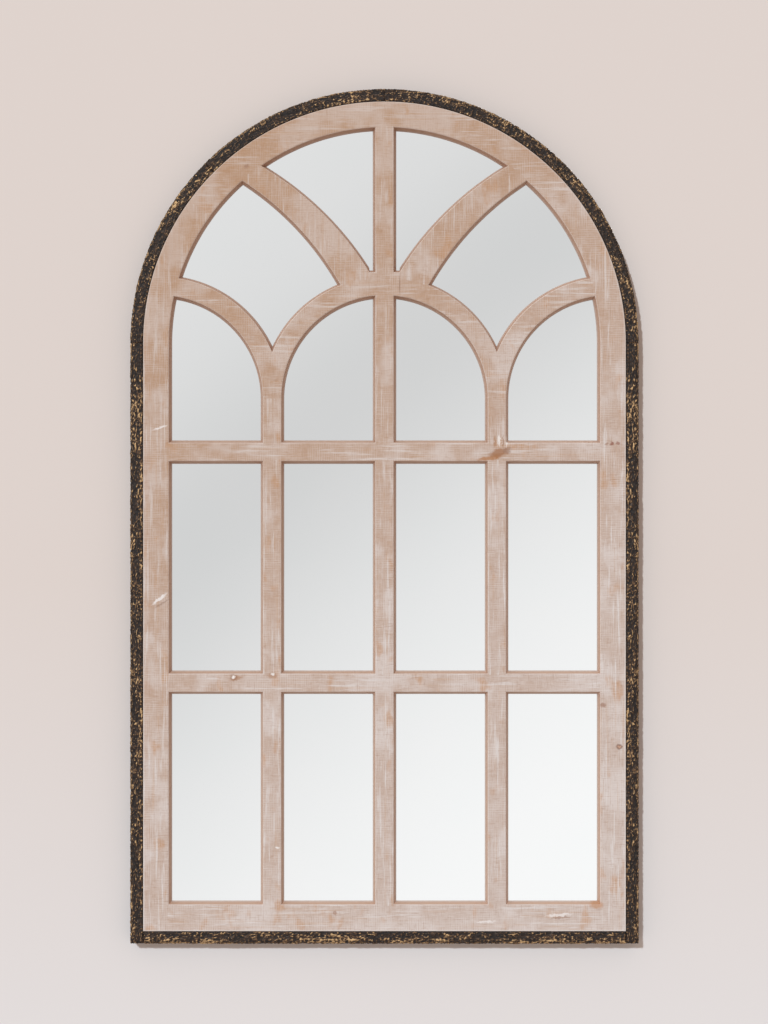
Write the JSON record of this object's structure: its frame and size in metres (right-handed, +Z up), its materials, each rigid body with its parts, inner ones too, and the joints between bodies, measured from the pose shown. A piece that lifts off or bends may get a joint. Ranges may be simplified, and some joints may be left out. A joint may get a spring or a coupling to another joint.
{
  "type": "arched window mirror",
  "caption": "Round-arched wall mirror made as a glazed window: whitewashed wooden bars and fan tracery over one mirror, inside a dark rough band, with hanging rings behind.",
  "frame": {"origin": "in the wall plane, midway between the two points where the D-rings bear on their wall hooks", "axes": "+Z up along the mirror's height, +Y into the wall, so the mirror faces -Y, and +X to the right of someone who looks into it"},
  "size_m": [0.7, 0.03, 1.178],
  "materials": {
    "whitewashed_fir": "planed fir, rough sawn face, thin whitewash",
    "joinery_wood": "bare beech",
    "dark_band": "carved moulding, black with a bronze rub",
    "silvered_glass": "silvered float glass",
    "foam_tape": "double-sided foam pad",
    "fibreboard": "bare medium-density fibreboard",
    "zinc_screw": "zinc plated",
    "zinc_strap": "zinc plated strip",
    "nickel_wire": "nickel plated wire",
    "bright_steel": "bright wire nail",
    "bumper_rubber": "soft moulded rubber"
  },
  "bodies": {
    "mirror": {"left_stile": "whitewashed_fir", "left_mullion": "whitewashed_fir", "left_outer_small_arc": "whitewashed_fir", "left_inner_small_arc": "whitewashed_fir", "left_arm": "whitewashed_fir", "left_band_upright": "dark_band", "left_hanger_strap": "zinc_strap", "right_stile": "whitewashed_fir", "right_mullion": "whitewashed_fir", "right_outer_small_arc": "whitewashed_fir", "right_inner_small_arc": "whitewashed_fir", "right_arm": "whitewashed_fir", "right_band_upright": "dark_band", "right_hanger_strap": "zinc_strap", "arch_right_lower": "whitewashed_fir", "arch_right_upper": "whitewashed_fir", "arch_top": "whitewashed_fir", "arch_left_upper": "whitewashed_fir", "arch_left_lower": "whitewashed_fir", "band_arch_right_lower": "dark_band", "band_arch_right_upper": "dark_band", "band_arch_left_upper": "dark_band", "band_arch_left_lower": "dark_band", "bottom_rail": "whitewashed_fir", "lower_transom": "whitewashed_fir", "upper_transom": "whitewashed_fir", "lower_middle_mullion": "whitewashed_fir", "upper_middle_mullion": "whitewashed_fir", "hub_block": "whitewashed_fir", "arch_splines": "joinery_wood", "arm_dowels": "joinery_wood", "band_bottom_strip": "dark_band", "band_nails": "bright_steel", "mirror_glass": "silvered_glass", "mirror_pads": "foam_tape", "backing_panel": "fibreboard", "backing_screws": "zinc_screw", "hanger_screws": "zinc_screw", "wall_bumpers": "bumper_rubber"},
    "left_ring": {"left_d_ring": "nickel_wire"},
    "right_ring": {"right_d_ring": "nickel_wire"}
  },
  "joints": [
    {"name": "left_ring_swing", "type": "hinge", "parent": "mirror", "child": "left_ring", "pos_m": [-0.316, -0.005, -0.0165], "axis": [1, 0, 0], "range_deg": [0, 180]},
    {"name": "right_ring_swing", "type": "hinge", "parent": "mirror", "child": "right_ring", "pos_m": [0.316, -0.005, -0.0165], "axis": [1, 0, 0], "range_deg": [0, 180]}
  ]
}
